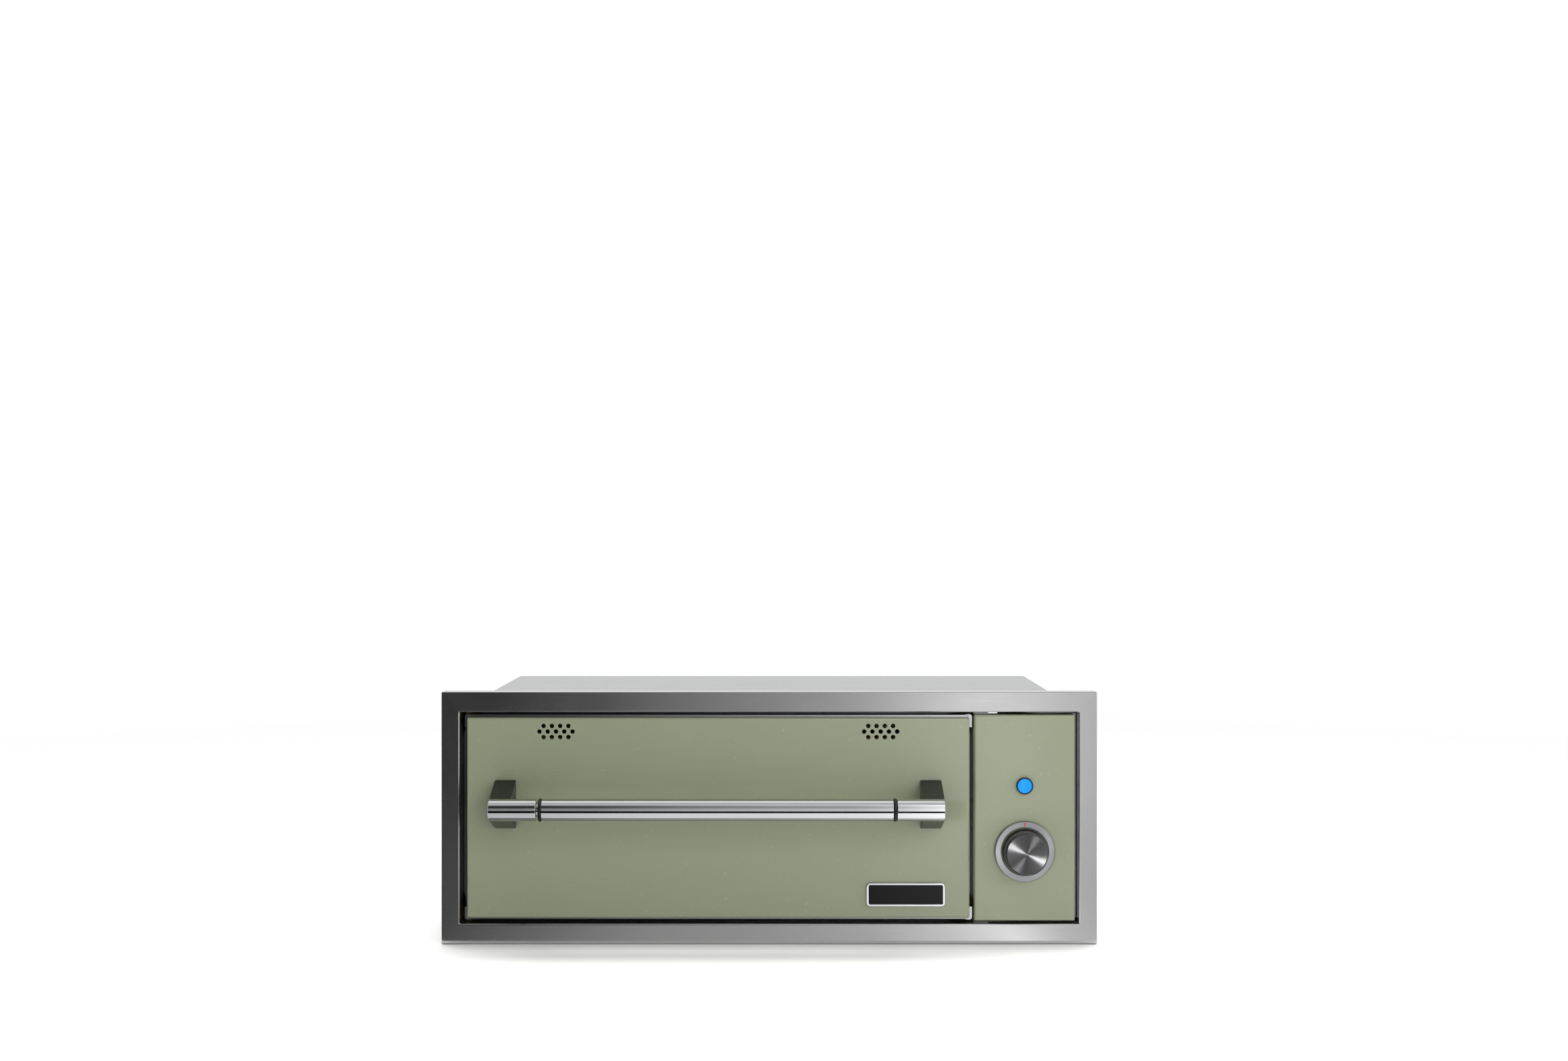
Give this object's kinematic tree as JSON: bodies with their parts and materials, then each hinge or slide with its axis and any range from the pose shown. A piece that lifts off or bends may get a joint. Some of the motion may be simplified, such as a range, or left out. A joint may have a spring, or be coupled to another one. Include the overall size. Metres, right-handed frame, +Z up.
{
  "type": "built-in warming drawer",
  "caption": "Built-in warming drawer: insulated stainless housing with a trim frame, an enamelled drawer on telescopic slides, a bar handle and a side control panel.",
  "frame": {"origin": "centre of the footprint, at the level of the trim's lower edge", "axes": "+Z up, front towards -Y, +X to the right as seen from the front"},
  "size_m": [0.762, 0.6644, 0.2935],
  "materials": {
    "brushed_steel": "fine brushed, 240 grit",
    "mill_steel": "mill finish",
    "polished_steel": "mirror polished",
    "sage_enamel": "gloss enamel",
    "zinc_plate": "bright zinc plated",
    "mineral_wool": "rigid mineral wool board",
    "black_rubber": "matte",
    "black_resin": "satin moulded",
    "blue_lens": "gloss, lit from behind",
    "sheathed_rod": "heat-darkened alloy sheath",
    "copper_tube": "drawn copper"
  },
  "bodies": {
    "chassis": {"trim_frame": "brushed_steel", "housing_wrapper": "mill_steel", "base_plate": "mill_steel", "back_panel": "mill_steel", "divider_wall": "mill_steel", "control_bracket": "mill_steel", "cavity_liner": "mill_steel", "door_gasket": "black_rubber", "insulation_top": "mineral_wool", "insulation_bottom": "mineral_wool", "insulation_left": "mineral_wool", "insulation_right": "mineral_wool", "insulation_rear": "mineral_wool", "control_panel": "sage_enamel", "knob_bezel": "brushed_steel", "thermostat": "black_resin", "control_nut": "zinc_plate", "lamp_bezel": "black_resin", "lamp_lens": "blue_lens", "lamp_body": "black_resin", "junction_box": "zinc_plate", "cord_gland": "black_resin", "heating_element": "sheathed_rod", "element_clip_1": "zinc_plate", "element_clip_2": "zinc_plate", "element_clip_3": "zinc_plate", "element_clip_4": "zinc_plate", "thermostat_sensor": "copper_tube", "slide_outer_left": "zinc_plate", "slide_outer_right": "zinc_plate"},
    "drawer": {"drawer_panel": "sage_enamel", "drawer_backer": "brushed_steel", "front_insulation": "mineral_wool", "inner_door_panel": "mill_steel", "drawer_side_left": "mill_steel", "drawer_side_right": "mill_steel", "drawer_rear_rail": "mill_steel", "drawer_pan": "mill_steel", "slide_inner_left": "zinc_plate", "slide_inner_right": "zinc_plate", "handle_bar": "polished_steel", "handle_end_left": "polished_steel", "handle_end_right": "polished_steel", "handle_ring_left": "black_rubber", "handle_ring_right": "black_rubber", "handle_screw_1": "zinc_plate", "handle_screw_2": "zinc_plate", "handle_screw_3": "zinc_plate", "handle_screw_4": "zinc_plate", "badge_plate": "polished_steel"},
    "slide_mids": {"slide_mid_left": "zinc_plate", "slide_mid_right": "zinc_plate"},
    "outer_cages": {"outer_cage_left": "zinc_plate", "outer_cage_right": "zinc_plate"},
    "inner_cages": {"inner_cage_left": "zinc_plate", "inner_cage_right": "zinc_plate"},
    "knob_unit": {"knob": "brushed_steel", "control_shaft": "zinc_plate"}
  },
  "joints": [
    {"name": "drawer_slide", "type": "slide", "parent": "chassis", "child": "drawer", "axis": [0, -1, 0], "range_m": [0, 0.47]},
    {"name": "mid_slide", "type": "slide", "parent": "chassis", "child": "slide_mids", "axis": [0, -1, 0], "range_m": [0, 0.2351]},
    {"name": "outer_cage_slide", "type": "slide", "parent": "chassis", "child": "outer_cages", "axis": [0, -1, 0], "range_m": [0, 0.1176]},
    {"name": "inner_cage_slide", "type": "slide", "parent": "chassis", "child": "inner_cages", "axis": [0, -1, 0], "range_m": [0, 0.3526]},
    {"name": "knob_turn", "type": "hinge", "parent": "chassis", "child": "knob_unit", "pos_m": [0.2966, -0.28, 0.10805], "axis": [0, 1, 0], "range_deg": [0, 300]}
  ],
  "couplings": [
    {"joint": "mid_slide", "follows": "drawer_slide", "ratio": 0.5},
    {"joint": "outer_cage_slide", "follows": "drawer_slide", "ratio": 0.25},
    {"joint": "inner_cage_slide", "follows": "drawer_slide", "ratio": 0.75}
  ]
}
